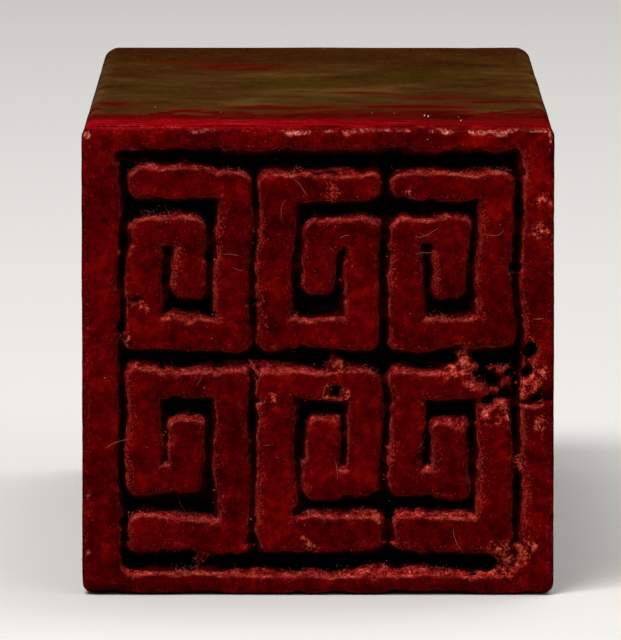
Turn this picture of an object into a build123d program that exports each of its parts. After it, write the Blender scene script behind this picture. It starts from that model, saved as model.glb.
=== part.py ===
from build123d import *
import os

# A square stone seal, lying on one long side with its carved printing face
# towards the viewer. Millimetres, +Z up. The origin lies on the resting plane
# under the middle of the seal, +X runs to the viewer's right, and the printing
# face looks along -Y.

# Stone block
face_width = 25.0
face_height = 25.0
stone_length = 60.0
long_edge_radius = 0.55
rim_radius = 0.35
butt_edge_radius = 0.8

# Plain border that frames the printing face. Its four sides were cut by eye
# and differ in width.
border_left = 1.85
border_right = 1.6
border_top = 1.15
border_bottom = 1.45

# Relief: strokes stand proud of a sunk field, and every wall slopes outwards
# towards its foot. The knife leaves narrow grooves beside the uprights and
# wide slots between the bars, and the strokes share out what is left.
carve_depth = 1.2
wall_draft = 12.0
groove_width = 0.67
slot_height = 1.25
stroke_corner_radius = 0.5
field_corner_radius = 0.6
greatest_corner_share = 0.45

# Thunder fret: a grid of rectangular scrolls, each wound on its own small
# lattice of strokes. The corners of its centre line are places in that
# lattice, as shares of the distance from one stroke to the next.
column_names = ["left", "middle", "right"]
row_names = ["lower", "upper"]
scroll_corner_shares = [(0, 0), (2, 0), (2, 3), (0, 3), (0, 1), (1, 1), (1, 2)]

# Old break through the right side of the border. It widens and climbs
# towards the flank.
break_height = 10.3
break_climb = 0.45
break_inner_width = 0.35
break_outer_width = 0.7
break_depth = 0.9

# Red seal paste: dried films on the printing surfaces, and smears that crept
# from the rim along three sides of the block. A smear's back edge is given as
# shares of the side's width and of the smear's length.
film_thickness = 0.06
smear_thickness = 0.05
upper_smear_length = 6.0
flank_smear_length = 4.0
upper_smear_shares = [
    (0.0, 0.80), (0.12, 0.98), (0.27, 0.72), (0.42, 0.90),
    (0.58, 1.0), (0.74, 0.82), (0.88, 0.94), (1.0, 0.70),
]
flank_smear_shares = [
    (0.0, 0.35), (0.18, 0.60), (0.36, 0.42), (0.55, 0.78),
    (0.76, 0.66), (1.0, 1.0),
]

# One allowance for every cut that has to run past a surface
overrun = 1.0

# Places that follow from the sizes above
overall_length = film_thickness + stone_length
face_y = film_thickness - overall_length / 2
smear_start_y = face_y + rim_radius
field_width = face_width - border_left - border_right
field_height = face_height - border_top - border_bottom
field_left = border_left - face_width / 2
field_right = face_width / 2 - border_right
strokes_across_scroll = 1 + max(across for across, up in scroll_corner_shares)
strokes_up_scroll = 1 + max(up for across, up in scroll_corner_shares)
uprights = len(column_names) * strokes_across_scroll
bars = len(row_names) * strokes_up_scroll
upright_width = (field_width - (uprights + 1) * groove_width) / uprights
bar_width = (field_height - (bars + 1) * slot_height) / bars
corner_radius = min(
    stroke_corner_radius, greatest_corner_share * min(upright_width, bar_width)
)

printing_plane = Plane(origin=(0, face_y, 0), x_dir=(1, 0, 0), z_dir=(0, -1, 0))
upper_plane = Plane(
    origin=(0, smear_start_y, face_height), x_dir=(1, 0, 0), z_dir=(0, 0, 1)
)
left_plane = Plane(
    origin=(-face_width / 2, smear_start_y, face_height / 2),
    x_dir=(0, 0, 1), z_dir=(-1, 0, 0),
)


def lattice_place(column, row, across, up):
    """A corner of one scroll's centre line, on the printing plane. Every
    second column and row is mirrored."""
    if column % 2:
        across = strokes_across_scroll - 1 - across
    if row % 2:
        up = strokes_up_scroll - 1 - up
    upright = column * strokes_across_scroll + across
    bar = row * strokes_up_scroll + up
    return Vector(
        field_left + groove_width + upright_width / 2
        + upright * (upright_width + groove_width),
        border_bottom + slot_height + bar_width / 2
        + bar * (bar_width + slot_height),
    )


def scroll_sketch(column, row):
    """Printing surface of one scroll: its uprights and bars, joined, with
    rounded outer corners."""
    corners = [
        lattice_place(column, row, across, up)
        for across, up in scroll_corner_shares
    ]
    with BuildSketch(printing_plane) as scroll:
        for start, end in zip(corners, corners[1:]):
            with Locations((start + end) / 2):
                Rectangle(
                    abs(end.X - start.X) + upright_width - 2 * corner_radius,
                    abs(end.Y - start.Y) + bar_width - 2 * corner_radius,
                )
        offset(amount=corner_radius, kind=Kind.ARC, mode=Mode.REPLACE)
    return scroll.sketch


def field_sketch():
    """Outline of the sunk field inside the border."""
    middle = (field_left + field_width / 2, border_bottom + field_height / 2)
    with BuildSketch(printing_plane) as field:
        with Locations(middle):
            RectangleRounded(field_width, field_height, field_corner_radius)
    return field.sketch


def break_sketch():
    """The wedge of the break, from the sunk field out past the flank."""
    inner_end = field_right - overrun
    outer_end = face_width / 2 + overrun
    with BuildSketch(printing_plane) as wedge:
        with BuildLine():
            Polyline(
                (inner_end, break_height - break_inner_width / 2),
                (outer_end, break_height + break_climb - break_outer_width / 2),
                (outer_end, break_height + break_climb + break_outer_width / 2),
                (inner_end, break_height + break_inner_width / 2),
                close=True,
            )
        make_face()
    return wedge.sketch


def smear_sketch(side_plane, side_width, length, edge_shares):
    """Outline of a smear: straight along the rim, wavering at its back."""
    edge_points = [
        ((across - 1 / 2) * side_width, back * length)
        for across, back in edge_shares
    ]
    with BuildSketch(side_plane) as smear:
        with BuildLine():
            back_edge = Spline(*edge_points)
            Polyline(
                back_edge @ 1, (side_width / 2, 0), (-side_width / 2, 0),
                back_edge @ 0,
            )
        make_face()
    return smear.sketch


# Outlines that more than one piece is cut or built from
field_outline = field_sketch()
break_outline = break_sketch()
scroll_outlines = {
    f"{row_name}_{column_name}_scroll_paste": scroll_sketch(column, row)
    for row, row_name in enumerate(row_names)
    for column, column_name in enumerate(column_names)
}
upper_smear_outline = smear_sketch(
    upper_plane, face_width - 2 * long_edge_radius,
    upper_smear_length, upper_smear_shares,
)
flank_smear_outline = smear_sketch(
    left_plane, face_height - 2 * long_edge_radius,
    flank_smear_length, flank_smear_shares,
)

# Carved stone: a square column with eased edges. The field is sunk with
# sloping walls, and the scrolls stand in it on wider feet.
with BuildPart() as seal_stone:
    with BuildSketch(printing_plane):
        with Locations((0, face_height / 2)):
            RectangleRounded(face_width, face_height, long_edge_radius)
    extrude(amount=-stone_length)
    fillet(seal_stone.faces().sort_by(Axis.Y)[-1].edges(), butt_edge_radius)
    fillet(seal_stone.faces().sort_by(Axis.Y)[0].edges(), rim_radius)
    extrude(
        to_extrude=field_outline, amount=-carve_depth, taper=wall_draft,
        mode=Mode.SUBTRACT,
    )
    for scroll_outline in scroll_outlines.values():
        extrude(to_extrude=scroll_outline, amount=-carve_depth, taper=-wall_draft)
    extrude(to_extrude=break_outline, amount=-break_depth, mode=Mode.SUBTRACT)

# Paste film on the border, parted where the border is broken
with BuildPart() as border_paste:
    with BuildSketch(printing_plane):
        with Locations((0, face_height / 2)):
            RectangleRounded(
                face_width - 2 * rim_radius,
                face_height - 2 * rim_radius,
                long_edge_radius - rim_radius,
            )
        add(field_outline, mode=Mode.SUBTRACT)
        add(break_outline, mode=Mode.SUBTRACT)
    extrude(amount=film_thickness)

# Smear on the upper long side
with BuildPart() as upper_side_paste:
    extrude(to_extrude=upper_smear_outline, amount=smear_thickness)

# Smear on the left flank
with BuildPart() as left_side_paste:
    extrude(to_extrude=flank_smear_outline, amount=smear_thickness)

# Smear on the right flank, the left one's mirror image, notched by the break
with BuildPart() as right_side_paste:
    mirror(left_side_paste.part, about=Plane.YZ)
    extrude(to_extrude=break_outline, amount=-break_depth, mode=Mode.SUBTRACT)

seal_stone.part.label = "seal_stone"
border_paste.part.label = "border_paste"
upper_side_paste.part.label = "upper_side_paste"
left_side_paste.part.label = "left_side_paste"
right_side_paste.part.label = "right_side_paste"

os.makedirs("parts", exist_ok=True)
export_step(seal_stone.part, "parts/seal_stone.step")
export_step(border_paste.part, "parts/border_paste.step")
export_step(upper_side_paste.part, "parts/upper_side_paste.step")
export_step(left_side_paste.part, "parts/left_side_paste.step")
export_step(right_side_paste.part, "parts/right_side_paste.step")

# Paste films on the scrolls, one for each, because each stands by itself
for node_name, scroll_outline in scroll_outlines.items():
    with BuildPart() as scroll_paste:
        extrude(to_extrude=scroll_outline, amount=film_thickness)
    scroll_paste.part.label = node_name
    export_step(scroll_paste.part, f"parts/{node_name}.step")
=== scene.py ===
import math

import bmesh
import bpy
import numpy as np
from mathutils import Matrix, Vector


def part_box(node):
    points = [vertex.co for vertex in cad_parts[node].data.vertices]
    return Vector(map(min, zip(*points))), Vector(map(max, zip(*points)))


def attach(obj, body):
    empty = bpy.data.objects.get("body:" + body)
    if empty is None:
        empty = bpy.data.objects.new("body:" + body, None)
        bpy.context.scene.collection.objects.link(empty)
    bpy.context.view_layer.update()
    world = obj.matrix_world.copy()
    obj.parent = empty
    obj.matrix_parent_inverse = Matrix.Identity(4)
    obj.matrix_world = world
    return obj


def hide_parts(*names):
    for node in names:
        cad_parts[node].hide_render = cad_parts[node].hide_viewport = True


# A carved stone seal with dried red paste on its printing face. Metres
# throughout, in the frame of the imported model: the printing face looks along
# -Y, and the seal rests on z = 0.

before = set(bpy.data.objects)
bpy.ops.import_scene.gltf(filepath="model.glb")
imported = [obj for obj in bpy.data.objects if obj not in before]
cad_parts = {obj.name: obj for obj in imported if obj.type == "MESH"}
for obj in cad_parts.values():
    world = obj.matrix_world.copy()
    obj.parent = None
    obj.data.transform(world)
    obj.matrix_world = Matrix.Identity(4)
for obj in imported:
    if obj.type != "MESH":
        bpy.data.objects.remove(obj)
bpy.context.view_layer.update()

mm = 0.001

# Sizes read from the frame
stone_low, stone_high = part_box("seal_stone")
half_side = (stone_high.x - stone_low.x) / 2
middle_z = (stone_high.z + stone_low.z) / 2
front_y = stone_low.y
back_y = stone_high.y
film_depth = front_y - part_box("border_paste")[0].y
smear_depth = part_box("upper_side_paste")[1].z - stone_high.z

column_names = ["left", "middle", "right"]
row_names = ["lower", "upper"]
scroll_nodes = {
    (column, row): f"{row_name}_{column_name}_scroll_paste"
    for row, row_name in enumerate(row_names)
    for column, column_name in enumerate(column_names)
}
first_low, first_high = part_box(scroll_nodes[0, 0])
last_low, last_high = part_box(scroll_nodes[2, 1])
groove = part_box(scroll_nodes[1, 0])[0].x - first_high.x
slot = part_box(scroll_nodes[0, 1])[0].z - first_high.z
strokes_across, strokes_up = 3, 4
upright = (first_high.x - first_low.x - (strokes_across - 1) * groove) / strokes_across
bar = (first_high.z - first_low.z - (strokes_up - 1) * slot) / strokes_up
field_low = (first_low.x - groove, first_low.z - slot)
field_high = (last_high.x + groove, last_high.z + slot)

# The carving. A wall's foot is how far it reaches out from its crest.
carve_depth = 1.2 * mm
side_foot = 0.26 * mm
left_foot = 0.4 * mm
upper_foot = 0.48 * mm
broad_foot = 0.26 * mm
bottom_bevel = 0.42 * mm
low_bar_drop = 0.3 * mm
crest_radius = 0.12 * mm
shoulder_width = 0.42 * mm
shoulder_drop = 0.05 * mm
clog_height = 0.5 * mm
bridge_height = 0.4 * mm
heap_depth = 0.3 * mm
slope_step = 0.05 * mm
stroke_corner = 0.5 * mm
field_corner = 0.6 * mm
inner_corner_blend = 0.12 * mm
scroll_path = [(0, 0), (2, 0), (2, 3), (0, 3), (0, 1), (1, 1), (1, 2)]

# How the knife wandered, and how ragged it left the edges, as layers of noise:
# height and size of the blobs in millimetres, and seed
wander_x = [(0.17, 3.4, 31), (0.07, 1.3, 32)]
wander_z = [(0.20, 3.8, 33), (0.08, 1.4, 34)]
ragged_edges = [(0.05, 0.5, 11), (0.03, 0.2, 12), (0.11, 1.9, 19)]

# The break through the right side of the border
break_z = 10.3 * mm
break_climb = 0.45 * mm
break_inner_width = 0.35 * mm
break_outer_width = 0.7 * mm
break_depth = 0.9 * mm

# Roundings of the block
front_radius = 0.6 * mm
butt_radius = 0.8 * mm

# How far a film's underside lies below the surface of the stone, and how far
# its outside dips under it where the film isn't shown
film_sink = 0.03 * mm
hidden_depth = 0.02 * mm

# Damage on the printing face, as (x, z, radius) in millimetres
pits = [
    (9.3, 11.5, 0.8), (8.7, 12.2, 0.55), (9.9, 10.9, 0.65), (10.2, 11.9, 0.55), (11.3, 12.9, 0.5),
    (9.1, 10.4, 0.4), (11.7, 10.5, 0.45), (11.1, 11.9, 0.35), (-9.7, 15.7, 0.4), (0.9, 10.9, 0.3),
]
rough_spots = [
    (11.5, 11.6, 0.5), (11.0, 10.9, 0.5), (8.1, 11.0, 0.3), (9.0, 9.6, 0.4), (10.1, 9.6, 0.5),
    (11.8, 9.4, 0.3), (11.9, 21.2, 0.5), (11.8, 19.6, 0.3), (9.9, 1.7, 0.7), (10.9, 2.4, 0.4),
    (0.7, 21.6, 0.25), (0.8, 10.5, 0.4), (-2.4, 10.6, 0.2), (-0.4, 2.5, 0.25), (-9.5, 15.3, 0.3),
]
# Crumbs heaped up in the slots, and nicks in the left rim, given the same way
heaps = [
    (10.1, 2.05, 0.8), (1.1, 12.4, 0.4), (7.9, 12.3, 0.5), (6.9, 12.1, 0.25), (-6.2, 1.9, 0.35),
    (4.7, 21.6, 0.2), (-3.3, 12.3, 0.25), (-9.9, 13.6, 0.25), (10.6, 7.0, 0.25),
]
left_chips = [(-12.2, 2.3, 0.16), (-12.15, 5.4, 0.12), (-12.2, 24.5, 0.2), (-12.2, 14.2, 0.1)]
# How far in from the sides the rim's crest runs, and how deep it is chipped
crest_inset = 0.24 * mm
scallop_depth = 0.24 * mm

# Soft patches on the upper side, in millimetres, as (x, distance from the
# face, half width, half length, strength): old paste rubbed in, darker reddish
# patches towards the back, and moss
upper_streaks = [
    (2.2, 23.8, 1.6, 1.3, 0.8), (6.4, 20.2, 2.2, 1.4, 0.8), (10.4, 17.1, 2.4, 1.4, 0.9),
    (-4.2, 43.5, 2.9, 2.4, 0.9), (-11.0, 15.5, 1.6, 1.6, 0.8), (-1.5, 13.3, 4.0, 2.0, 0.9),
    (4.6, 13.6, 3.6, 2.2, 0.9), (-8.0, 47.0, 2.0, 1.6, 0.5),
]
upper_back_darkening = [(-6.0, 53.0, 9.0, 9.0, 1.0), (7.0, 54.0, 8.0, 8.0, 0.9), (-9.0, 42.0, 4.5, 7.0, 0.7)]
upper_green = [(-1.1, 31.7, 2.8, 4.0, 1.0), (5.0, 36.0, 2.5, 5.0, 0.6), (-9.0, 27.0, 2.0, 5.0, 0.5)]
# Pale specks of dust on the upper side, as (x, distance from the face, radius)
upper_specks = [
    (5.7, 6.4, 0.07), (5.9, 6.1, 0.05), (7.5, 5.4, 0.03), (7.6, 3.2, 0.04), (4.1, 8.1, 0.02),
    (2.9, 8.4, 0.025), (-5.2, 9.0, 0.02), (-0.4, 4.4, 0.02), (-8.8, 12.5, 0.025),
]


def smooth(value):
    """0 below 0, 1 above 1, and a smooth step between."""
    value = np.clip(value, 0, 1)
    return value * value * (3 - 2 * value)


def step(length, zero, one):
    """A smooth step, from 0 where a length is zero millimetres to 1 where it
    is one millimetres. zero can be the greater."""
    return smooth((length / mm - zero) / (one - zero))


NOISE_CELLS = 32
noise_tables = {}


def noise(points, cell, seed):
    """Smooth noise from -1 to 1, with blobs about cell millimetres across."""
    if seed not in noise_tables:
        random = np.random.RandomState(seed)
        noise_tables[seed] = random.uniform(-1, 1, (NOISE_CELLS,) * 3)
    table = noise_tables[seed]
    place = points / (cell * mm)
    base = np.floor(place).astype(int)
    share = smooth(place - base)
    total = np.zeros(points.shape[:-1])
    for corner in np.ndindex(2, 2, 2):
        at = (base + np.array(corner)) % NOISE_CELLS
        weight = np.prod(np.where(corner, share, 1 - share), axis=-1)
        total += weight * table[at[..., 0], at[..., 1], at[..., 2]]
    return total


def fractal(points, cell, seed, octaves=3):
    """Noise with finer and weaker noise on top."""
    total = np.zeros(points.shape[:-1])
    for octave in range(octaves):
        total += noise(points, cell / 2**octave, seed + octave) / 2**octave
    return total


def layered(points, layers):
    """The sum of some layers of noise, given as (height, cell, seed)."""
    return sum(height * mm * noise(points, cell, seed) for height, cell, seed in layers)


def patchy(points, cell, seed, level, strength=1.0):
    """Ragged patches, from 0 to 1. A higher level makes them larger, and a
    greater strength makes their edges sharper."""
    return smooth(level + strength * fractal(points, cell, seed))


def in_space(x, y, z):
    """Points from their three coordinates, each an array or one number."""
    return np.stack(np.broadcast_arrays(x, y, z), axis=-1)


def box_distance(x, z, low, high, radius):
    """Distance to a rounded rectangle, negative inside it."""
    beyond_x = np.abs(x - (low[0] + high[0]) / 2) - (high[0] - low[0]) / 2 + radius
    beyond_z = np.abs(z - (low[1] + high[1]) / 2) - (high[1] - low[1]) / 2 + radius
    outside = np.hypot(np.maximum(beyond_x, 0), np.maximum(beyond_z, 0))
    return outside + np.minimum(np.maximum(beyond_x, beyond_z), 0) - radius


def soft_min(a, b, blend):
    """The smaller of two distances, with the corner between them filled."""
    share = np.clip(0.5 + 0.5 * (b - a) / blend, 0, 1)
    return b + (a - b) * share - blend * share * (1 - share)


def stroke_centre(column, row, across, up):
    """The middle of one stroke of the fret's lattice, in which every second
    column and row is mirrored."""
    if column % 2:
        across = strokes_across - 1 - across
    if row % 2:
        up = strokes_up - 1 - up
    x = field_low[0] + groove + upright / 2
    z = field_low[1] + slot + bar / 2
    x += (column * strokes_across + across) * (upright + groove)
    z += (row * strokes_up + up) * (bar + slot)
    return x, z


def scroll_distance(column, row, x, z):
    """Distance to one scroll's printing surface."""
    corners = [stroke_centre(column, row, *place) for place in scroll_path]
    distance = None
    for start, end in zip(corners, corners[1:]):
        low = (min(start[0], end[0]) - upright / 2, min(start[1], end[1]) - bar / 2)
        high = (max(start[0], end[0]) + upright / 2, max(start[1], end[1]) + bar / 2)
        leg = box_distance(x, z, low, high, stroke_corner)
        distance = leg if distance is None else soft_min(leg, distance, inner_corner_blend)
    return distance


def break_distance(x, z):
    """Distance to the wedge of the break, negative inside."""
    inner_x = field_high[0]
    share = (x - inner_x) / (half_side - inner_x)
    line_z = break_z + break_climb * share
    width = break_inner_width + (break_outer_width - break_inner_width) * share
    across = np.abs(z - line_z) - width / 2
    return np.maximum(across, inner_x - 0.6 * mm - x)


def spot_distance(x, z, spots):
    """Distance to the nearest of some round spots, negative inside one."""
    distance = np.full(x.shape, 1.0)
    for spot_x, spot_z, radius in spots:
        away = np.hypot(x - spot_x * mm, z - spot_z * mm) - radius * mm
        distance = np.minimum(distance, away)
    return distance


def ragged_spots(x, z, spots, height, cell, seed):
    """Distance to the nearest of some spots, with ragged edges."""
    return spot_distance(x, z, spots) + height * mm * fractal(in_space(x, 0.0, z), cell, seed)


def pit_distance(x, z):
    """Distance to the pits where the relief has crumbled away."""
    return ragged_spots(x, z, pits, 0.26, 0.7, 13)


def rubble_share(x, z):
    """How far the printing surface has broken up into crumbs, from 0 to 1."""
    return step(ragged_spots(x, z, rough_spots, 0.35, 0.8, 28), 0.45, -0.45)


def heap_share(x, z):
    """How far crumbs fill the slots, from 0 to 1."""
    return step(ragged_spots(x, z, heaps, 0.3, 0.6, 45), 0.3, -0.3)


def patch_share(x, back, patches):
    """How strongly soft oval patches cover each place of the upper side."""
    share = np.zeros(x.shape)
    for patch_x, patch_back, half_width, half_length, strength in patches:
        across = (x - patch_x * mm) / (half_width * mm)
        along = (back - patch_back * mm) / (half_length * mm)
        share = np.maximum(share, strength * smooth(1.5 - np.hypot(across, along)))
    return share


def fresh_share(x):
    """How bright the paste on the upper rim is. It dulls towards the right."""
    return 1 - 0.5 * step(x, -3, 7)


def bottom_share(x, z):
    """1 along the bottom of the border, where its crest is cut back."""
    return step(z, 2.4, 1.6) * step(field_high[0] - np.abs(x), 0, 0.8)


def land_distances(x, z):
    """Distance to every raised surface, by the name of its paste node."""
    place = in_space(x, 0.0, z)
    nick = smooth((noise(place, 0.75, 14) - 0.45) / 0.3)
    ragged = layered(place, ragged_edges) + 0.12 * mm * nick
    pit = pit_distance(x, z)
    broken = break_distance(x, z) + 0.07 * mm * noise(place, 0.25, 16)
    drop = low_bar_drop * step(z - first_low.z, 0.2, -0.2)
    distances = {}
    for (column, row), node in scroll_nodes.items():
        distances[node] = np.maximum(scroll_distance(column, row, x, z) + ragged - drop, -pit)
    border = ragged - box_distance(x, z, field_low, field_high, field_corner)
    border += bottom_bevel * bottom_share(x, z)
    distances["border_paste"] = np.maximum(np.maximum(border, -broken), -pit)
    return distances


def nearest_land(x, z):
    """Distance to the nearest of all raised surfaces."""
    return np.min(list(land_distances(x, z).values()), axis=0)


def wall_foot(x, z, up, left, broad):
    """How far a wall reaches out from its crest, by the way that it faces."""
    place = in_space(x, 0.0, z)
    foot = side_foot + (upper_foot - side_foot) * up + (left_foot - side_foot) * left * (1 - up)
    foot *= 1 + 0.3 * up * noise(place, 1.1, 36)
    foot += up * (broad_foot * broad + 0.5 * bottom_bevel * bottom_share(x, z))
    return foot + 0.04 * mm * noise(place, 0.4, 17)


def field_floor(x, z, settled, heap):
    """Depth of the sunk field, and how far old paste fills it. Paste clogs
    and bridges it where it could settle, and crumbs lie in heaps."""
    place = in_space(x, 0.0, z)
    clog = patchy(place, 1.5, 24, -0.4, 2.0) * settled
    bridge = patchy(place, 0.9, 35, -1.6, 4.0) * settled
    depth = carve_depth * (1 + 0.07 * fractal(place, 1.1, 22))
    depth -= clog_height * clog * (0.7 + 0.5 * noise(place, 0.2, 25))
    depth -= bridge_height * bridge * (1 + fractal(place, 0.25, 26))
    depth += (heap_depth + 0.14 * mm * fractal(place, 0.35, 48) - depth) * heap
    depth += (break_depth - depth) * step(break_distance(x, z), 0.1, -0.1)
    return depth, np.maximum(bridge, 0.6 * clog)


def carve(x, z):
    """The carved face at some places of its plan: the points on it, and what
    the films and the materials need to know of each."""
    place = in_space(x, 0.0, z)
    distances = land_distances(x, z)
    nearest = np.min(list(distances.values()), axis=0)
    rise = nearest_land(x, z + slope_step) - nearest_land(x, z - slope_step)
    run = nearest_land(x + slope_step, z) - nearest_land(x - slope_step, z)
    up = smooth(rise / (2 * slope_step))
    left = smooth(-run / (2 * slope_step))
    sideways = np.clip(1 - np.abs(rise) / (2 * slope_step), 0, 1)
    broad = step(z - middle_z, 2, -4) * patchy(place, 4, 64, 0.6)

    heap = heap_share(x, z)
    settled = np.maximum(up, sideways) * step(nearest, 0.75, 0.25)
    floor, filled = field_floor(x, z, settled, heap)
    down = np.clip(nearest / wall_foot(x, z, up, left, broad), 0, 1)
    crest = crest_radius * (1 + 0.4 * noise(place, 0.7, 21))
    rounding = np.clip((nearest + crest) / crest, 0, 1)
    on_crest = crest * (1 - np.sqrt(1 - rounding**2))
    shoulder = smooth(1 + nearest / shoulder_width) * (0.35 + 0.65 * sideways)
    on_land = shoulder_drop * shoulder * (1 + 0.5 * noise(place, 1.1, 18))
    wall_bumps = 0.05 * mm * fractal(place, 0.22, 27) * smooth(4 * down) * smooth(4 - 4 * down)
    scars = 0.16 * mm * rubble_share(x, z) * patchy(place, 0.3, 29, 0.4)
    dents = 0.012 * mm * fractal(place, 1.4, 51)
    depth = on_crest + on_land + (floor - crest) * down + wall_bumps + scars + dents

    # The knife's wander fades out towards the rim
    inset = half_side - np.maximum(np.abs(x), np.abs(z - middle_z))
    fade = step(inset, 0.5, 1.8)
    moved_x = x + layered(place, wander_x) * fade
    moved_z = z + layered(place, wander_z) * fade
    return {
        "points": in_space(moved_x, front_y + depth, moved_z), "distances": distances,
        "nearest": nearest, "down": down, "up": up, "left": left, "broad": broad,
        "heap": heap, "filled": filled,
    }


def side_swell(points):
    """How far the worn sides of the block stand from flat."""
    return 0.018 * mm * fractal(points, 6.5, 41, 2) - 0.012 * mm


def graded(low, high, count, ease):
    """Places from low to high, closer together at both ends."""
    share = np.arange(count) / count
    share = share - ease * np.sin(2 * math.pi * share) / (2 * math.pi)
    return list(low + (high - low) * share)


def face_lines(low, high, first_edge, land, gap, lands, gap_count, land_count):
    """Grid lines over the face, dense beside every edge of the carving."""
    lines = graded(low, first_edge, 10, 0.3)
    edge = first_edge
    for _ in range(lands):
        lines += graded(edge, edge + gap, gap_count, 0.2)
        lines += graded(edge + gap, edge + gap + land, land_count, 0.5)
        edge += gap + land
    lines += graded(edge, edge + gap, gap_count, 0.2)
    lines += graded(edge + gap, high, 10, 0.3)
    return np.array(lines + [high])


def corner_loop(unit_x, unit_z, fan=6):
    """Places round a square patch, anticlockwise from its lower left corner:
    the patch vertex (column, row), its unit place, and the outward direction.
    Each corner is a fan of directions."""
    last_x, last_z = len(unit_x) - 1, len(unit_z) - 1
    sides = [
        [(i, 0) for i in range(last_x)],
        [(last_x, j) for j in range(last_z)],
        [(last_x - i, last_z) for i in range(last_x)],
        [(0, last_z - j) for j in range(last_z)],
    ]
    cells, turns = [], []
    for side, places in enumerate(sides):
        angle = (side - 1) * math.pi / 2
        cells += [places[0]] * fan + places
        turns += [angle - math.pi / 2 * (1 - share / fan) for share in range(fan)]
        turns += [angle] * len(places)
    units = np.array([(unit_x[i], unit_z[j]) for i, j in cells])
    return cells, units, np.array([(math.cos(turn), math.sin(turn)) for turn in turns])


def ring(units, directions, radius, out, ahead, y):
    """One loop of points round the block, and their outward directions. out
    runs from 0 on the end faces to 1 on the sides, and ahead from 1 on the
    front to -1 on the butt."""
    flat = units * (half_side - radius) + directions * radius * out
    points = in_space(flat[:, 0], y, flat[:, 1] + middle_z)
    return points, in_space(directions[:, 0] * out, -ahead, directions[:, 1] * out)


class Surface:
    """Vertices with outward directions, and faces between them."""

    def __init__(self):
        self.points, self.outward, self.faces, self.count = [], [], [], 0

    def add(self, points, outward):
        """Adds vertices and returns their numbers."""
        self.points.append(points)
        self.outward.append(outward)
        numbers = np.arange(self.count, self.count + len(points))
        self.count += len(points)
        return numbers

    def add_grid(self, points, outward, flip=False):
        """Adds a grid of vertices with quads over it."""
        numbers = self.add(points.reshape(-1, 3), outward.reshape(-1, 3))
        numbers = numbers.reshape(points.shape[:-1])
        a, b = numbers[:-1, :-1].ravel(), numbers[1:, :-1].ravel()
        c, d = numbers[1:, 1:].ravel(), numbers[:-1, 1:].ravel()
        quads = np.stack([a, d, c, b] if flip else [a, b, c, d], axis=1)
        self.faces += quads.tolist()
        return numbers

    def band(self, near, far, flip=False):
        """Faces between two closed loops. Repeated vertices of the near loop
        give triangles."""
        for k in range(len(near)):
            n = (k + 1) % len(near)
            face = [near[k], far[k], far[n], near[n]][:3 if near[k] == near[n] else 4]
            self.faces.append([int(v) for v in (face[::-1] if flip else face)])

    def zip(self, near, far, near_points, far_points):
        """Triangles between two closed loops of different counts."""
        near_share, far_share = loop_shares(near_points), loop_shares(far_points)
        i = j = 0
        while i < len(near) or j < len(far):
            face = [near[i % len(near)], far[j % len(far)]]
            if j == len(far) or (i < len(near) and near_share[i + 1] <= far_share[j + 1]):
                i += 1
                face.append(near[i % len(near)])
            else:
                j += 1
                face.append(far[j % len(far)])
            self.faces.append([int(v) for v in face])

    def joined(self):
        """All points and all outward directions."""
        return np.concatenate(self.points), np.concatenate(self.outward)


def loop_shares(points):
    """How far round a closed loop each point lies, ending with 1."""
    steps = np.linalg.norm(np.roll(points, -1, axis=0) - points, axis=1)
    return np.concatenate([[0], np.cumsum(steps)]) / steps.sum()


def put_in_scene(name, data):
    """A new object of some data, in the scene."""
    thing = bpy.data.objects.new(name, data)
    bpy.context.scene.collection.objects.link(thing)
    return thing


def make_object(name, points, faces, values, material):
    """A smooth mesh object with named values, each an array or one number."""
    mesh = bpy.data.meshes.new(name)
    mesh.from_pydata(points.tolist(), [], faces)
    mesh.update()
    for value_name, value in values.items():
        layer = mesh.attributes.new(value_name, "FLOAT", "POINT")
        layer.data.foreach_set("value", np.full(len(points), value, np.float32))
    mesh.polygons.foreach_set("use_smooth", [True] * len(mesh.polygons))
    mesh.materials.append(material)
    return put_in_scene(name, mesh)


def film(node, points, outward, faces, thickness, shown, values):
    """A closed film of paste over some faces of a surface, for a paste node.
    Where it isn't shown it dips under the surface, and that draws its edge."""
    used = sorted({v for face in faces for v in face})
    renumber = {v: k for k, v in enumerate(used)}
    count = len(used)
    outer = [[renumber[v] for v in face] for face in faces]
    directed = {side for face in outer for side in zip(face, face[1:] + face[:1])}
    rims = [(a, b) for a, b in directed if (b, a) not in directed]
    closed = list(outer)
    closed += [[v + count for v in reversed(face)] for face in outer]
    closed += [[b, a, a + count, b + count] for a, b in sorted(rims)]
    height = thickness * shown - hidden_depth * (1 - shown)
    top = points[used] + outward[used] * height[used][:, None]
    under = points[used] - outward[used] * film_sink
    doubled = {
        name: np.tile(np.broadcast_to(value, len(points))[used], 2)
        for name, value in values.items()
    }
    name = node.replace("_paste", "_film")
    piece = make_object(name, np.concatenate([top, under]), closed, doubled, paste)
    settle(piece, "seal_paste", node)


def settle(piece, slot_name, *nodes):
    """Says what a piece rides on and what it stands for. slot_name is not used."""
    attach(piece, "root")
    if nodes:
        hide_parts(*nodes)


def srgb(*screen):
    """A colour as 0 to 255 screen values, turned into scene values."""
    shares = [channel / 255 for channel in screen]
    linear = [
        share / 12.92 if share <= 0.04045 else ((share + 0.055) / 1.055) ** 2.4
        for share in shares
    ]
    return (*linear, 1.0)


def fill(tree, node, inputs):
    """Links or sets some inputs of a shader node."""
    for key, value in inputs.items():
        if isinstance(value, bpy.types.NodeSocket):
            tree.links.new(value, node.inputs[key])
        else:
            node.inputs[key].default_value = value


def add_node(tree, kind, output, inputs, **settings):
    """One output of a new shader node with its inputs and settings made."""
    node = tree.nodes.new("ShaderNode" + kind)
    for name, value in settings.items():
        setattr(node, name, value)
    fill(tree, node, inputs)
    return node.outputs[output]


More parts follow.
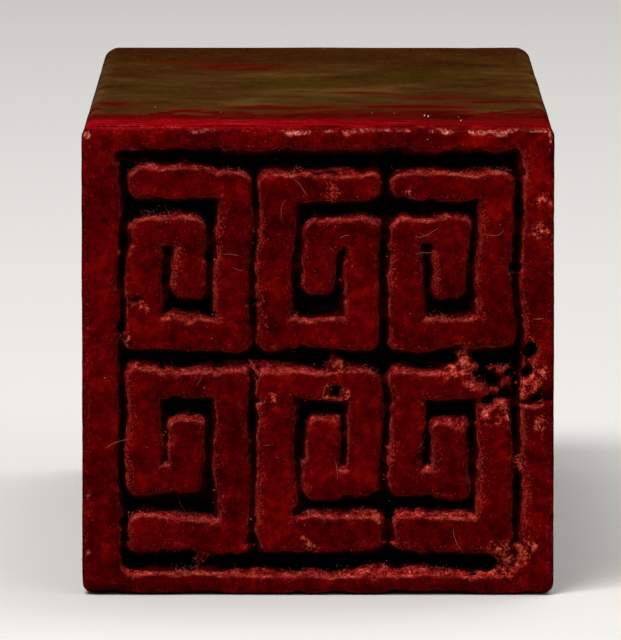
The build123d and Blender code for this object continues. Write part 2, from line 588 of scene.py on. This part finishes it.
class Graph:
    """A material's nodes, joined as they are made. Its colour is what has been
    laid down so far. Colours are given as 0 to 255 screen values, and sizes in
    millimetres."""

    def __init__(self, name):
        self.material = bpy.data.materials.new(name)
        self.material.use_nodes = True
        self.tree = self.material.node_tree
        self.place = self.add("TexCoord", "Object", {})
        self.noises = 0
        self.colour = None

    def add(self, kind, output, inputs, **settings):
        return add_node(self.tree, kind, output, inputs, **settings)

    def noise(self, size, detail, roughness, stretch=(1.0, 1.0, 1.0)):
        """Noise from 0 to 1 whose blobs are about size across. Each call
        looks at another part of it."""
        self.noises += 1
        place = self.add("Mapping", "Vector", {
            "Vector": self.place, "Location": (0.37 * self.noises, 0.0, 0.0), "Scale": stretch,
        })
        return self.add("TexNoise", "Fac", {
            "Vector": place, "Scale": 1 / (size * mm), "Detail": detail, "Roughness": roughness,
        })

    def values(self, *names):
        """Numbers stored on the mesh."""
        return [self.add("Attribute", "Fac", {}, attribute_name=name) for name in names]

    def math(self, operation, a, b=0.0):
        return self.add("Math", 0, {0: a, 1: b}, operation=operation)

    def product(self, *values):
        """Some values multiplied together."""
        result = values[0]
        for value in values[1:]:
            result = self.math("MULTIPLY", result, value)
        return result

    def blend(self, *parts):
        """The sum of some (value, weight) pairs."""
        result = self.product(*parts[0])
        for part in parts[1:]:
            result = self.math("ADD", result, self.product(*part))
        return result

    def span(self, value, low, high, start=0.0, end=1.0):
        """value from low to high, as start to end, held at both ends."""
        return self.add("MapRange", "Result", {
            "Value": value, "From Min": low, "From Max": high, "To Min": start, "To Max": end,
        })

    def lines(self, value, width, strength):
        """Thin lines where some noise crosses its middle."""
        away = self.math("ABSOLUTE", self.math("SUBTRACT", value, 0.5))
        return self.span(away, 0.0, width, strength, 0.0)

    def ramp(self, value, *stops):
        """A colour for each stretch of value, from (place, colour) stops."""
        result = self.add("ValToRGB", "Color", {"Fac": value})
        elements = result.node.color_ramp.elements
        for k, (place, *colour) in enumerate(stops):
            element = elements[k] if k < len(elements) else elements.new(place)
            element.position = place
            element.color = srgb(*colour)
        return result

    def cover(self, colour, *shares):
        """Lays a colour over the material's, by the product of some shares."""
        if isinstance(colour, tuple):
            colour = srgb(*colour)
        inputs = {0: self.product(*shares), 6: self.colour, 7: colour}
        self.colour = self.add("Mix", 2, inputs, data_type="RGBA")

    def finish(self, roughness, specular, relief):
        """Gives the shader the colour, a roughness, a uniform specular level
        and small relief: (height, distance) pairs, one on another."""
        normal = {}
        for height, distance in relief:
            normal = {"Normal": self.add("Bump", "Normal", {
                "Strength": 1.0, "Distance": distance * mm, "Height": height, **normal,
            })}
        fill(self.tree, self.tree.nodes["Principled BSDF"], {
            "Base Color": self.colour, "Roughness": roughness,
            "Specular IOR Level": specular, **normal,
        })
        return self.material


# Neither the dried paste nor the stone, which old oil has dulled, shines
gloss = 0.0


def paste_material():
    """Dried seal paste: dark maroon on the flats with orange specks, grainy
    orange red on the walls with painted highlight where they face up or left
    and a painted highlight line on their crest, orange crumbs with painted
    highlight and painted shade, pale where an edge is rubbed, crimson where it
    lies thick on the upper rim, and painted shade down the walls."""
    graph = Graph("dried_seal_paste")
    wall, rim, deep, worn, edge, fresh, grit, thin = graph.values(*paste_value_names)
    broad = graph.noise(3.2, 3, 0.55)
    cloudy = graph.noise(1.0, 3, 0.6)
    blotchy = graph.noise(0.42, 2, 0.5)
    fine = graph.noise(0.2, 2, 0.7)
    grain = graph.noise(0.11, 2, 0.7)
    specks = graph.noise(0.09, 1, 0.7)
    patches = graph.noise(0.7, 3, 0.6)
    dents = graph.noise(0.75, 1, 0.4)
    streaks = graph.noise(0.5, 3, 0.6, (0.18, 1.0, 1.0))
    sandy = graph.blend((fine, 0.5), (grain, 0.5))

    # The flats: mottled, with dark dents, and bright specks that crowd the edges and, as painted
    # highlight, the walls that face left
    graph.colour = graph.ramp(
        graph.blend((broad, 0.3), (cloudy, 0.3), (blotchy, 0.3), (fine, 0.1)),
        (0.40, 46, 0, 1), (0.47, 66, 1, 2), (0.53, 80, 1, 2), (0.62, 110, 4, 4),
    )
    graph.cover((24, 0, 2), graph.span(dents, 0.66, 0.78, 0.0, 0.5))
    crowded = graph.blend((specks, 1.0), (edge, 0.11), (cloudy, 0.2))
    graph.cover((156, 44, 36), graph.span(crowded, 0.79, 0.90, 0.0, 0.7))

    # The walls, brighter where they face up or left as painted highlight, and a painted highlight
    # line along their top
    wall_colour = graph.ramp(
        graph.blend((grain, 0.6), (blotchy, 0.4)),
        (0.38, 66, 3, 5), (0.46, 104, 11, 11), (0.54, 146, 32, 28), (0.66, 218, 98, 83),
    )
    graph.cover(wall_colour, wall)
    rim_highlight_colour = graph.ramp(sandy, (0.34, 112, 16, 13), (0.50, 166, 50, 41), (0.66, 216, 116, 99))
    graph.cover(rim_highlight_colour, rim, graph.span(patches, 0.40, 0.58, 0.2, 1.0))

    # Thick paste on the upper rim, and thin paste behind it
    fresh_colour = graph.ramp(
        graph.blend((streaks, 0.6), (fine, 0.4)),
        (0.36, 76, 1, 3), (0.48, 114, 3, 8), (0.58, 142, 10, 15), (0.70, 182, 54, 52),
    )
    graph.cover(fresh_colour, fresh)
    graph.cover((74, 15, 6), thin, graph.span(fine, 0.35, 0.6, 0.3, 0.9))

    # Crumbs with painted shade in the hollows between them and pale tops that are partly painted
    # highlight, chips on the crest, and painted shade in the depths
    graph.cover((30, 1, 2), grit, graph.span(blotchy, 0.52, 0.42, 0.0, 0.8))
    grains = graph.blend((grain, 0.35), (fine, 0.35), (blotchy, 0.3), (grit, 0.12))
    crumb_and_highlight_colour = graph.ramp(
        graph.blend((specks, 0.5), (blotchy, 0.5)),
        (0.38, 122, 9, 7), (0.50, 184, 35, 25), (0.61, 242, 122, 96),
    )
    graph.cover(crumb_and_highlight_colour, graph.span(grains, 0.54, 0.74), graph.span(grit, 0.0, 0.4))
    chip_colour = graph.ramp(sandy, (0.36, 112, 14, 12), (0.50, 164, 56, 46), (0.62, 238, 162, 138))
    graph.cover(chip_colour, worn, graph.span(patches, 0.34, 0.5, 0.3, 1.0))
    graph.cover((22, 2, 2), graph.span(deep, 0.3, 1.0, 0.0, 0.85))

    rough = graph.product(grain, graph.blend((wall, 1.0), (grit, 1.0), (0.5, 1.0)))
    relief = [(cloudy, 0.04), (fine, 0.03), (rough, 0.015)]
    return graph.finish(graph.span(cloudy, 0.3, 0.7, 0.42, 0.62), gloss, relief)


def stone_material(name, veining):
    """Olive brown stone with mossy and rusty clouds, darker reddish patches
    towards the back, flecks, pores and veins, edges pale from wear and painted
    highlight, old paste in its pores near the face, and near-black painted shade
    in the carving. The veining is weak where handling has worn the stone smooth."""
    graph = Graph(name)
    groove_shade, stain, edge, green, back_darkening = graph.values("groove_shade", "stain", "edge", "green", "back_darkening")
    clouds = graph.noise(7, 4, 0.5)
    patches = graph.noise(2.4, 6, 0.65)
    rusty = graph.noise(9, 3, 0.5)
    veins = graph.noise(6.0, 6, 0.5, (1.0, 0.5, 1.4))
    pale_veins = graph.noise(4.0, 4, 0.5, (1.3, 0.6, 0.9))
    grain = graph.noise(0.25, 3, 0.6)
    flecks = graph.noise(0.6, 2, 0.5)
    pores = graph.noise(0.4, 1, 0.5)
    scratches = graph.noise(0.5, 3, 0.6, (1.0, 0.04, 1.0))

    # Clouds of moss and rust, and darker reddish patches towards the back
    graph.colour = graph.ramp(
        graph.blend((clouds, 0.6), (patches, 0.4)),
        (0.36, 38, 19, 4), (0.45, 54, 30, 8), (0.54, 64, 39, 13), (0.66, 86, 58, 24),
    )
    mossy = graph.math("MAXIMUM", graph.span(patches, 0.54, 0.66, 0.0, 0.45), green)
    graph.cover((52, 38, 4), mossy, graph.span(patches, 0.3, 0.6, 0.4, 1.0))
    reddened = graph.math("MAXIMUM", graph.span(rusty, 0.52, 0.68, 0.0, 0.5), back_darkening)
    graph.cover((50, 17, 3), reddened, graph.span(patches, 0.3, 0.6, 0.5, 1.0))

    # Flecks, pores, pale and dark veins, grain and scratches
    graph.cover((100, 72, 36), graph.span(flecks, 0.62, 0.74, 0.0, 0.2 + 0.4 * veining))
    graph.cover((26, 12, 3), graph.span(pores, 0.66, 0.76, 0.0, 0.2 + 0.6 * veining))
    graph.cover((112, 84, 48), graph.lines(pale_veins, 0.012, 0.22 * veining))
    graph.cover((36, 12, 4), graph.lines(veins, 0.02, 0.15 + 0.65 * veining))
    graph.cover((96, 68, 36), graph.span(grain, 0.5, 0.8, 0.0, 0.3))
    graph.cover((108, 80, 46), graph.span(scratches, 0.68, 0.76, 0.0, 0.2 * veining))

    # Edges pale from wear and painted highlight, old paste, and near-black painted shade in the
    # carving
    graph.cover((112, 84, 50), edge, graph.span(patches, 0.4, 0.6))
    graph.cover((82, 5, 3), stain, graph.span(patches, 0.30, 0.52, 0.5, 1.0))
    graph.cover((60, 5, 4), graph.span(stain, 0.6, 1.0))
    graph.cover(graph.ramp(grain, (0.45, 3, 1, 1), (0.62, 10, 3, 3), (0.78, 40, 11, 8)), groove_shade)

    relief = [(patches, 0.03), (scratches, 0.006), (grain, 0.006)]
    return graph.finish(graph.span(patches, 0.3, 0.7, 0.26, 0.46), gloss, relief)


def plain_material(name, colour, other, size, roughness):
    """Two close colours in soft blobs, with a fine grain."""
    graph = Graph(name)
    blobs = graph.noise(size, 4, 0.6)
    graph.colour = srgb(*colour)
    graph.cover(other, blobs)
    return graph.finish(roughness, 0.2, [(blobs, size / 12)])


def build_stone():
    """The block's whole surface, with the carving in its front patch."""
    surface = Surface()
    low, high = -half_side + front_radius, half_side - front_radius
    lines_x = face_lines(low, high, field_low[0], upright, groove, 9, 9, 12)
    lines_z = face_lines(low + middle_z, high + middle_z, field_low[1], bar, slot, 8, 15, 11)
    x, z = np.meshgrid(lines_x, lines_z, indexing="ij")
    carving = carve(x, z)
    front = surface.add_grid(carving["points"], in_space(0.0 * x, -1.0, 0.0))
    front_faces = len(surface.faces)

    # The rim, and the first steps along the sides
    cells, units, directions = corner_loop(lines_x / high, (lines_z - middle_z) / high)
    near = np.array([front[cell] for cell in cells])
    rim_angles = np.radians([8, 16, 24, 32, 40, 50, 60, 70, 80, 90])
    rim_steps = np.array([0.25, 0.5, 0.8, 1.2]) * mm
    rings = [(math.sin(a), math.cos(a), front_radius * (1 - math.cos(a))) for a in rim_angles]
    rings += [(1.0, 0.0, front_radius + back) for back in rim_steps]
    rim_rings = []
    for out, ahead, back in rings:
        near_points, outward = ring(units, directions, front_radius, out, ahead, front_y + back)
        near_points = chipped(near_points, outward)
        far = surface.add(near_points, outward)
        surface.band(near, far)
        rim_rings.append(far)
        near = far
    rim_faces = len(surface.faces)

    # The sides, and the rounding of the butt
    coarse = np.array(graded(-1, 1, 34, 0.45) + [1.0])
    cells, units, directions = corner_loop(coarse, coarse)
    end_y = back_y - butt_radius
    loops = []
    for y in np.linspace(front_y + front_radius + 2.0 * mm, end_y, 108):
        share = step(y - end_y, -1.5, 0)
        loops.append((1.0, 0.0, y, front_radius + (butt_radius - front_radius) * share))
    for angle in np.radians([75, 60, 45, 30, 15]):
        y = end_y + butt_radius * math.cos(angle)
        loops.append((math.sin(angle), -math.cos(angle), y, butt_radius))
    for number, (out, ahead, y, radius) in enumerate(loops):
        points, outward = ring(units, directions, radius, out, ahead, y)
        points = worn_block(points, outward, directions)
        far = surface.add(points, outward)
        if number == 0:
            surface.zip(near, far, near_points, points)
        else:
            surface.band(near, far)
        near = far

    flat_x, flat_z = np.meshgrid(coarse, coarse, indexing="ij")
    inner = half_side - butt_radius
    butt = in_space(flat_x * inner, back_y, flat_z * inner + middle_z)
    butt[..., 1] -= 0.02 * mm + 0.015 * mm * fractal(butt, 5, 43, 2)
    back = surface.add_grid(butt, in_space(0.0 * flat_x, 1.0, 0.0), flip=True)
    surface.band(np.array([back[cell] for cell in cells]), near, flip=True)
    return surface, carving, rim_rings, front_faces, rim_faces


def chip_share(points):
    """How far the crest of the rim is chipped at each point, from 0 to 1.
    The chips are scallops that hang from the crest, thickest at the upper
    right."""
    x, z = points[:, 0], points[:, 2]
    behind = points[:, 1] - front_y
    inset = half_side - np.maximum(np.abs(x), np.abs(z - middle_z))
    upper = step(z - middle_z - 0.85 * half_side, 0, 1.2)
    plenty = upper * (0.75 * step(x, -2, 0) - 0.12) - 0.06
    plenty = np.where(z > 1.2 * mm, plenty, -1.0)
    presence = smooth((plenty + 0.8 * noise(points, 1.6, 65)) / 0.3)
    lobes = smooth(1.4 * np.abs(noise(points, 0.75, 67)))
    lobes = lobes + 0.3 * np.abs(noise(points, 0.25, 68))
    depth = scallop_depth * (0.1 + lobes) * presence * (0.3 + 0.7 * upper)
    crest = crest_inset + 0.05 * mm * noise(points, 1.1, 69) + 0.1 * mm * (1 - upper)
    below = step(inset - crest, -0.03, 0.02)
    above = step(crest + depth - inset, 0, 0.06)
    scallops = below * above * presence * (behind < 0.3 * mm)
    nicks = step(spot_distance(x, z, left_chips), 0, -0.06) * (behind < 0.5 * mm)
    return np.maximum(scallops, nicks)


def chipped(points, outward):
    """Rim points with the break, the chips and a little wear taken out."""
    x, z = points[:, 0], points[:, 2]
    nibble = smooth((noise(points, 0.8, 61) - 0.25) / 0.5)
    nibble *= step(points[:, 1] - front_y, 0.84, 0.14)
    low_wear = step(z, 0.9, 0) * patchy(points, 2.2, 66, 0.4)
    loss = 0.12 * mm * chip_share(points) + 0.06 * mm * nibble + 0.22 * mm * low_wear
    moved = points - outward * loss[:, None]
    across = break_distance(np.minimum(x, half_side), z)
    floor = front_y + break_depth * step(across, 0.125, -0.125)
    notched = (x > field_high[0]) & (moved[:, 1] < floor)
    moved[:, 1] = np.where(notched, floor, moved[:, 1])
    return moved


def worn_block(points, outward, directions):
    """Side points with soft swells, and small chips along the long edges."""
    corner = np.minimum(np.abs(directions[:, 0]), np.abs(directions[:, 1])) * 1.4
    butt_edge = step(back_y - points[:, 1], 1.2, 0)
    on_edge = np.maximum(corner, butt_edge * 0.8)
    chip = patchy(points, 1.7, 63, -1.1, 2.0)
    loss = (0.22 * mm * chip + 0.03 * mm) * on_edge - side_swell(points)
    return points - outward * loss[:, None]


paste_value_names = ["wall", "rim", "deep", "worn", "edge", "fresh", "grit", "thin"]
no_paste_values = dict.fromkeys(paste_value_names, 0.0)
paste = paste_material()
handled_stone = stone_material("handled_stone", 0.15)
veined_stone = stone_material("veined_stone", 1.0)

surface, carving, rim_rings, front_faces, rim_faces = build_stone()
points, outward = surface.joined()
front_count = carving["nearest"].size


def over_block(front_values, elsewhere=0.0):
    """A value for each vertex of the block, given on its carved front."""
    values = np.full(len(points), elsewhere)
    values[:front_count] = front_values.ravel()
    return values


# What the materials read, one number for each vertex of the block
nearest = over_block(carving["nearest"], -1.0)
down, facing_up, facing_left, broad, heap, filled = [
    over_block(carving[name]) for name in ("down", "up", "left", "broad", "heap", "filled")
]
behind_face = points[:, 1] - front_y
to_side = half_side - np.abs(points[:, 0])
to_level = half_side - np.abs(points[:, 2] - middle_z)
to_butt = back_y - points[:, 1]
on_top = step(points[:, 2] - middle_z - half_side, -0.5, -0.2)

ragged_x = points[:, 0] + 0.9 * mm * fractal(points, 2.2, 111)
ragged_back = behind_face + 1.1 * mm * fractal(points, 2.2, 115)
streaks, green, back_darkening = [
    patch_share(ragged_x, ragged_back, patches) * on_top
    for patches in (upper_streaks, upper_green, upper_back_darkening)
]
streaks = streaks * patchy(points, 1.6, 75, 0.85, 0.7)
stain = smooth(1.6 - behind_face / (9.5 * mm) + 0.5 * fractal(points, 3.5, 71))
outermost = np.sort(np.stack([to_side, to_level, to_butt], axis=1), axis=1)
# Edges of the block are paler from wear and from painted highlight
edge_wear_and_highlight = 0.5 * step(outermost[:, 0] + outermost[:, 1], 0.9, 0)
stone_values = {
    # painted shade: near black deep in the carving, less where paste fills it
    "groove_shade": step(nearest, 0.12, 0.37) * (1 - 0.7 * filled),
    "stain": np.maximum(stain, streaks), "green": green, "back_darkening": back_darkening,
    "edge": edge_wear_and_highlight * (behind_face > 2 * mm),
}
block = make_object("carved_stone", points, surface.faces, stone_values, handled_stone)
block.data.materials.append(veined_stone)
normals = np.zeros(3 * len(surface.faces))
block.data.polygons.foreach_get("normal", normals)
veined = normals[2::3] < 0.7
veined[:front_faces] = False
block.data.polygons.foreach_set("material_index", veined.astype(int))
settle(block, "stone", "seal_stone")

# Films of paste on the raised surfaces. Their walls carry painted highlight
# where they face up or left, and the painted highlight line along their crest
# shows there alone.
lit = np.maximum(np.clip(facing_up + 0.35 * facing_left, 0, 1), 0.7 * facing_left)
wall = step(nearest, -0.02, 0.08) * (0.3 + (0.4 + 0.3 * broad) * lit)
leftward = facing_left * (1 - facing_up)
kept_up = 0.2 + 0.8 * patchy(points, 1.6, 85, 0.5)
kept_left = 0.5 * patchy(points, 1.8, 88, 0.1)
# A painted highlight line along crests that face up or left
rim = np.exp(-(((nearest - 0.02 * mm) / (0.055 * mm)) ** 2))
rim *= np.clip(kept_up * facing_up + kept_left * leftward, 0, 1)
chips = chip_share(points) * np.where(points[:, 2] > middle_z + 0.85 * half_side, 1.0, 0.6)
near_edge = step(nearest, -0.45, 0) * (0.4 + 0.6 * patchy(points, 1.6, 92, 0.5))
near_edge = np.maximum(near_edge, step(np.minimum(to_side, to_level), 0.7, 0))
speckled = step(nearest, -0.75, 0) * patchy(points, 1.9, 78, 0.6)
rubble = rubble_share(points[:, 0], points[:, 2]) * step(behind_face, 1.56, 0.36)
paste_values = {
    # painted shade that deepens down the walls
    "wall": wall, "rim": rim, "deep": down * (1 - heap), "worn": chips, "thin": 0.0,
    # specks near edges, with more on walls that face left as painted highlight
    "edge": near_edge + 1.1 * leftward * speckled, "grit": np.maximum(rubble, heap),
    "fresh": smooth((outward[:, 2] - 0.55) / 0.35) * fresh_share(points[:, 0]),
}

place = in_space(points[:, 0], 0.0, points[:, 2])
reach = 0.16 * mm + 0.06 * mm * noise(place, 0.5, 81)
reach += 0.3 * mm * facing_up * smooth(0.5 + 0.8 * noise(place, 1.4, 83))
reach += 0.22 * mm * facing_up * broad + slot * heap
texture = 1 + 0.3 * fractal(points, 0.6, 82)
ridge = 1 + 0.35 * np.exp(-(((nearest + 0.08 * mm) / (0.06 * mm)) ** 2))
thickness = np.minimum(0.8 * texture * ridge, 1.15) * film_depth
for node, distances in carving["distances"].items():
    distance = over_block(distances)
    shown = step(reach - distance, 0, 0.08)
    keep = distance < reach + 0.12 * mm
    candidates = surface.faces[:front_faces]
    if node == "border_paste":
        candidates = surface.faces[:rim_faces]
        for number, loop in enumerate(rim_rings):
            keep[loop] = True
            under = step(points[loop, 2], 0.35, 0)
            ending = number / (len(rim_rings) - 1)
            shown[loop] = np.clip(smooth(1.6 - 1.6 * ending) - under, 0, 1)
    faces = [face for face in candidates if all(keep[v] for v in face)]
    film(node, points, outward, faces, thickness, shown, paste_values)


def side_film(node, turn, length, dense, wrap):
    """A smear on one side of the block: whole near the face as far as dense
    says, then in ragged islands, and gone at its length. turn is the side's
    direction, as an angle from +X towards +Z, and wrap is how far the smear
    goes round the long edges beside it, as a share of their rounding."""
    flat = half_side - front_radius
    reach_along = flat + wrap * front_radius * math.pi / 2
    along = np.linspace(-reach_along, reach_along, 160)
    a, behind = np.meshgrid(along, np.linspace(0.3 * mm, length, 80), indexing="ij")
    angle = np.maximum(np.abs(a) - flat, 0) / front_radius
    lean = np.sign(a) * np.sin(angle)
    across = np.clip(a, -flat, flat) + front_radius * lean
    level = flat + front_radius * np.cos(angle)
    out = np.array([math.cos(turn), 0.0, math.sin(turn)])
    side = np.array([out[2], 0.0, -out[0]])
    outwards = lean[..., None] * side + np.cos(angle)[..., None] * out
    grid = across[..., None] * side + level[..., None] * out
    grid += in_space(0.0, front_y + behind, middle_z)
    grid += outwards * side_swell(grid)[..., None]

    cover = 0.5 - (behind - dense) / (2 * (length - dense))
    cover += 0.32 * fractal(grid, 2.4, 91) + 0.14 * fractal(grid, 0.8, 95)
    cover += 0.5 * step(behind, 5.6, 1.6)
    margin = step(reach_along - np.abs(a), 0, 0.4) * step(length - behind, 0, 0.5)
    shown = smooth((cover - 0.28) / 0.2) * margin
    thickness = smear_depth * (0.55 + 0.25 * fractal(grid, 0.7, 97))
    sheet = Surface()
    sheet.add_grid(grid, outwards, flip=True)
    drawn = shown.ravel() > 0
    faces = [face for face in sheet.faces if any(drawn[v] for v in face)]
    thin = np.maximum(smooth(1.2 - (cover - 0.28) / 0.5), 0.4 * smooth(grid[..., 0] / half_side))
    fresh = step(behind, 6.8, 2.8) * smooth((outwards[..., 2] + 0.1) / 0.8)
    fresh = fresh * fresh_share(grid[..., 0])
    values = {**no_paste_values, "thin": thin.ravel(), "fresh": fresh.ravel()}
    film(node, *sheet.joined(), faces, thickness.ravel(), shown.ravel(), values)


side_film("upper_side_paste", math.pi / 2, 16 * mm, 6.3 * mm, 0.9)
side_film("left_side_paste", math.pi, 11 * mm, 4 * mm, 0.1)
side_film("right_side_paste", 0.0, 11 * mm, 4 * mm, 0.1)


def tubes(name, paths, radii, material):
    """Thin closed tubes along some paths, joined in one object."""
    sides = 5
    turns = np.arange(sides) * 2 * math.pi / sides
    vertices, faces, start = [], [], 0
    for path, radius in zip(paths, radii):
        along = np.gradient(path, axis=0)
        along /= np.linalg.norm(along, axis=1)[:, None]
        across = np.cross(along, [0.0, 1.0, 0.0])
        across /= np.linalg.norm(across, axis=1)[:, None]
        up = np.cross(across, along)
        taper = radius * np.sin(math.pi * np.linspace(0.12, 0.88, len(path))) ** 0.5
        for point, side, over, size in zip(path, across, up, taper):
            vertices += [point + size * (math.cos(t) * side + math.sin(t) * over) for t in turns]
        last = start + (len(path) - 1) * sides
        for a in range(start, last, sides):
            for k in range(sides):
                n = (k + 1) % sides
                faces.append([a + k, a + k + sides, a + n + sides, a + n])
        faces.append([start + k for k in range(sides)])
        faces.append([last + k for k in reversed(range(sides))])
        start = last + sides
    return make_object(name, np.array(vertices), faces, {}, material)


def blobs(name, centres, sizes, seed, values, material):
    """Small lumps of no regular shape, joined in one object."""
    random = np.random.RandomState(seed)
    mesh = bmesh.new()
    bmesh.ops.create_icosphere(mesh, subdivisions=2, radius=1.0)
    ball = np.array([vertex.co[:] for vertex in mesh.verts])
    ball_faces = [[vertex.index for vertex in face.verts] for face in mesh.faces]
    mesh.free()
    vertices, faces = [], []
    for number, (centre, size) in enumerate(zip(centres, sizes)):
        lumpy = ball * (1 + 0.35 * noise((ball + random.uniform(0, 20, 3)) * mm, 0.9, 101)[:, None])
        turn, _ = np.linalg.qr(random.normal(size=(3, 3)))
        turn *= np.sign(np.linalg.det(turn))
        squash = random.uniform(0.6, 1.3, 3)
        vertices.append(centre + size * (lumpy * squash) @ turn.T)
        faces += [[v + number * len(ball) for v in face] for face in ball_faces]
    return make_object(name, np.concatenate(vertices), faces, values, material)


def field_places(random, count):
    """Random places over the printing face."""
    margin = 0.6 * mm
    x = random.uniform(-half_side + margin, half_side - margin, count)
    z = random.uniform(margin, 2 * middle_z - margin, count)
    return x, z


def lying_paths(random, x, z, lengths, bends, lift, steps):
    """Curved paths that lie on the carved face, from places on it."""
    turn = random.uniform(0, 2 * math.pi, len(x))
    bend = random.normal(0, 1, len(x)) * bends
    twist = random.normal(0, 1, len(x)) * bends
    share = np.linspace(-0.5, 0.5, steps)[None, :]
    angle = turn[:, None] + bend[:, None] * share + twist[:, None] * share**2 * 2
    stride = lengths[:, None] / steps
    inner = half_side - 0.5 * mm
    across = np.clip(x[:, None] + np.cumsum(np.cos(angle) * stride, axis=1), -inner, inner)
    over = z[:, None] + np.cumsum(np.sin(angle) * stride, axis=1)
    over = np.clip(over, middle_z - inner, middle_z + inner)
    return carve(across, over)["points"] - np.array([0.0, lift, 0.0])


random = np.random.RandomState(7)

# Paper and brush fibres stuck to the lands, each bridging the dips below it
fibre_material = plain_material("paper_fibres", (170, 110, 84), (120, 44, 32), 0.25, 0.7)
x, z = field_places(random, 60)
on_land = carve(x, z)["nearest"] < -0.1 * mm
x, z = x[on_land][:20], z[on_land][:20]
lengths = random.uniform(0.4, 1.5, len(x)) * mm
paths = lying_paths(random, x, z, lengths, 0.9, 0.055 * mm, 14)
paths[..., 1] = np.minimum.accumulate(paths[..., 1][:, ::-1], axis=1)[:, ::-1]
radii = random.uniform(0.007, 0.013, len(paths)) * mm
settle(tubes("paper_fibres", paths, radii, fibre_material), "seal_paste")

# Lint caught in clumps on the walls that face up
lint_material = plain_material("grey_lint", (156, 96, 98), (98, 48, 54), 0.3, 0.8)
x, z = field_places(random, 30000)
spot = carve(x, z)
caught = (spot["up"] > 0.7) & (spot["down"] > 0.1) & (spot["down"] < 0.75)
caught &= fractal(in_space(x, 0.0, z), 1.4, 93) > 0.2
x, z = x[caught][:640], z[caught][:640]
lengths = random.uniform(0.08, 0.34, len(x)) * mm
paths = lying_paths(random, x, z, lengths, 1.7, 0.02 * mm, 8)
radii = random.uniform(0.008, 0.014, len(paths)) * mm
settle(tubes("grey_lint", paths, radii, lint_material), "seal_paste")

# Crumbs of paste in the corners of the carving and round the pits
x, z = field_places(random, 9000)
spot = carve(x, z)
pit_near = np.abs(pit_distance(x, z)) < 0.35 * mm
broken_up = rubble_share(x, z) > 0.5
crumbly = ((spot["down"] > 0.35) | pit_near | broken_up) & (spot["down"] < 0.9)
chance = 0.09 + 0.6 * pit_near + 0.8 * broken_up
crumbly &= random.uniform(size=len(x)) < chance
centres = spot["points"][crumbly]
sizes = (0.02 + 0.06 * random.uniform(size=len(centres)) ** 2) * mm
# Crumbs take the walls' colours, with their painted highlight and a little painted shade
crumb_values = {**no_paste_values, "wall": 1.0, "rim": 0.3, "deep": 0.1, "grit": 0.5}
settle(blobs("paste_crumbs", centres, sizes, 8, crumb_values, paste), "seal_paste")

# A little pale dust on the lands, and some bigger specks on the upper side
dust_material = plain_material("pale_dust", (214, 190, 178), (164, 120, 108), 0.05, 0.8)
x, z = field_places(random, 40)
centres = carve(x, z)["points"] - np.array([0.0, film_depth, 0.0])
sizes = random.uniform(0.010, 0.026, len(centres)) * mm
specks = np.array(upper_specks) * mm
on_side = in_space(specks[:, 0], front_y + specks[:, 1], stone_high.z + smear_depth)
centres = np.concatenate([centres, on_side])
sizes = np.concatenate([sizes, specks[:, 2]])
settle(blobs("pale_dust", centres, sizes, 9, {}, dust_material), "seal_paste")

# Camera: a long lens a little above the seal, looking along it. The width and
# the centre of the printing face are in pixels of the photograph.
photo_width, photo_height = 621, 640
sensor = 36.0
lens = 545.0
elevation = math.radians(5.65)
face_width_pixels = 472
face_centre_pixel = (318.0, 361.5)
pixel = 2 * half_side / face_width_pixels
face_distance = lens / sensor * photo_height * pixel
aim = Vector((
    (photo_width / 2 - face_centre_pixel[0]) * pixel,
    front_y,
    middle_z + (face_centre_pixel[1] - photo_height / 2) * pixel / math.cos(elevation),
))
camera_data = bpy.data.cameras.new("camera")
camera_data.lens = lens
camera_data.sensor_width = sensor
camera_data.clip_end = 20.0
camera = put_in_scene("camera", camera_data)
camera.location = aim + face_distance * Vector((0, -math.cos(elevation), math.sin(elevation)))
camera.rotation_euler = (math.pi / 2 - elevation, 0, 0)
bpy.context.scene.camera = camera

lamps_aim = Vector((0.0, 0.0, 0.012))


def area_light(name, place, size, power):
    """A soft square lamp that faces the seal."""
    data = bpy.data.lights.new(name, "AREA")
    data.size = size
    data.energy = power
    lamp = put_in_scene(name, data)
    lamp.location = place
    lamp.rotation_euler = (lamps_aim - Vector(place)).to_track_quat("-Z", "Y").to_euler()


area_light("key_lamp", (-0.20, -0.36, 0.64), 0.32, 4.8)
area_light("fill_lamp", (0.45, -0.50, 0.45), 0.5, 0.7)
area_light("back_lamp", (0.18, 0.26, 0.70), 0.4, 1.8)

# The world is dim at the horizon and brighter overhead, like a soft box
world = bpy.data.worlds.new("studio")
bpy.context.scene.world = world
world.use_nodes = True
sky = world.node_tree
sky_place = add_node(sky, "TexCoord", "Generated", {})
sky_height = add_node(sky, "SeparateXYZ", "Z", {0: sky_place})
sky_level = add_node(sky, "MapRange", "Result", {
    "Value": sky_height, "From Min": 0.0, "From Max": 0.6, "To Min": 0.1, "To Max": 0.4,
})
fill(sky, sky.nodes["Background"], {"Color": (1.0, 1.0, 1.0, 1.0), "Strength": sky_level})

half_floor = 4.0
floor_corners = [(-1, -1), (1, -1), (1, 1), (-1, 1)]
floor_mesh = bpy.data.meshes.new("studio_floor")
floor_mesh.from_pydata(
    [(x * half_floor, y * half_floor, 0.0) for x, y in floor_corners], [], [(0, 1, 2, 3)]
)
floor_look = Graph("pale_floor")
floor_look.colour = srgb(216, 214, 210)
floor_look.cover((218, 216, 212), floor_look.noise(60, 2, 0.5))
floor_mesh.materials.append(floor_look.finish(0.8, 0.1, []))
put_in_scene("studio_floor", floor_mesh)

bpy.context.scene.view_settings.view_transform = "Standard"
